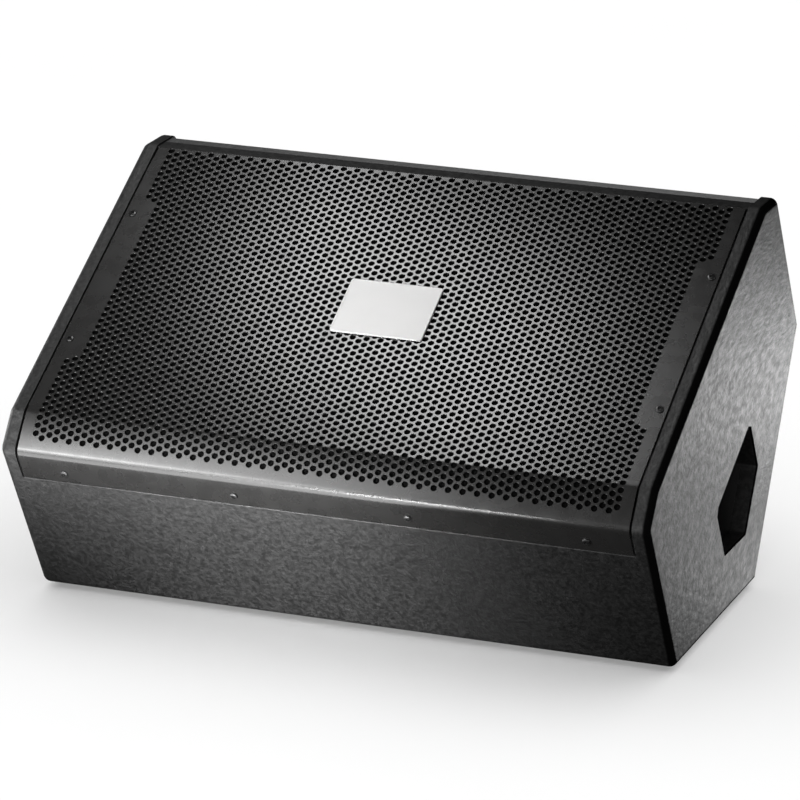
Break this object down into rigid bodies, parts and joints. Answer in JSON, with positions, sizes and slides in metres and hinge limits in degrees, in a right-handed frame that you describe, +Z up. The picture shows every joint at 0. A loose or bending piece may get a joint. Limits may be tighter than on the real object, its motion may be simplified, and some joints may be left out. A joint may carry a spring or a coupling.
{
  "type": "stage monitor wedge",
  "caption": "Wedge-shaped floor loudspeaker in textured black paint, with a bent perforated steel grille, side pockets and a sloping front that throws sound up at a performer.",
  "frame": {"origin": "centre of the overall box in plan, at floor level under the feet", "axes": "+X to the right seen from the grille side, +Y from the grille side to the back, +Z up"},
  "size_m": [0.692, 0.505, 0.4102],
  "materials": {
    "textured_paint": "textured black paint, fine pebbled grain, over birch plywood",
    "grille_powder_coat": "satin black powder coat on perforated steel",
    "bare_ply": "bare birch plywood",
    "foam": "open-cell black foam",
    "badge_white": "plain satin white plate, no lettering",
    "black_screw": "black oxide on steel",
    "cast_metal": "black-painted die-cast aluminium",
    "plated_steel": "zinc-plated steel",
    "ferrite": "ground ferrite",
    "cone_paper": "pressed paper pulp, black",
    "treated_cloth": "doped pleated cloth",
    "coil_former": "amber polyimide",
    "copper_wire": "lacquered copper wire",
    "titanium": "thin pressed titanium",
    "black_plastic": "moulded black plastic",
    "circuit_board": "green solder mask",
    "capacitor_film": "yellow film wrap",
    "rubber": "moulded black rubber"
  },
  "bodies": {
    "cabinet": {"left_side_panel": "textured_paint", "right_side_panel": "textured_paint", "front_panel": "textured_paint", "bottom_panel": "textured_paint", "second_floor_panel": "textured_paint", "rear_panel": "textured_paint", "top_rail": "textured_paint", "grille_batten_left": "textured_paint", "grille_batten_right": "textured_paint", "baffle_board": "textured_paint", "centre_brace": "bare_ply", "grille": "grille_powder_coat", "grille_foam": "foam", "woofer_gasket": "foam", "badge_plate": "badge_white", "grille_screw_left_1": "black_screw", "grille_screw_left_2": "black_screw", "grille_screw_right_1": "black_screw", "grille_screw_right_2": "black_screw", "grille_lip_screw_1": "black_screw", "grille_lip_screw_2": "black_screw", "grille_lip_screw_3": "black_screw", "grille_lip_screw_4": "black_screw", "woofer_screw_1": "black_screw", "woofer_screw_2": "black_screw", "woofer_screw_3": "black_screw", "woofer_screw_4": "black_screw", "horn_screw_1": "black_screw", "horn_screw_2": "black_screw", "horn_screw_3": "black_screw", "horn_screw_4": "black_screw", "woofer_basket": "cast_metal", "compression_driver_body": "cast_metal", "compression_driver_cover": "cast_metal", "woofer_surround": "treated_cloth", "woofer_spider": "treated_cloth", "crossover_coil": "copper_wire", "woofer_top_plate": "plated_steel", "woofer_yoke": "plated_steel", "woofer_magnet": "ferrite", "horn": "black_plastic", "port_tube_lower": "black_plastic", "port_tube_upper": "black_plastic", "pocket_cup_left": "black_plastic", "pocket_cup_right": "black_plastic", "speaker_socket_1": "black_plastic", "speaker_socket_2": "black_plastic", "mode_switch_body": "black_plastic", "crossover_board": "circuit_board", "crossover_capacitor": "capacitor_film", "foot_front_left": "rubber", "foot_front_right": "rubber", "foot_back_left": "rubber", "foot_back_right": "rubber"},
    "cone_assembly": {"woofer_cone": "cone_paper", "woofer_dust_cap": "cone_paper", "voice_coil_former": "coil_former", "voice_coil": "copper_wire"},
    "driver_diaphragm": {"compression_driver_diaphragm": "titanium"},
    "switch_slider": {"mode_switch_slider": "plated_steel"}
  },
  "joints": [
    {"name": "cone_stroke", "type": "slide", "parent": "cabinet", "child": "cone_assembly", "axis": [0, -0.4848, 0.8746], "range_m": [-0.006, 0.006]},
    {"name": "diaphragm_stroke", "type": "slide", "parent": "cabinet", "child": "driver_diaphragm", "axis": [0, -0.4848, 0.8746], "range_m": [-0.0005, 0.0005]},
    {"name": "mode_switch_throw", "type": "slide", "parent": "cabinet", "child": "switch_slider", "axis": [0, 0.8746, 0.4848], "range_m": [0, 0.004]}
  ]
}
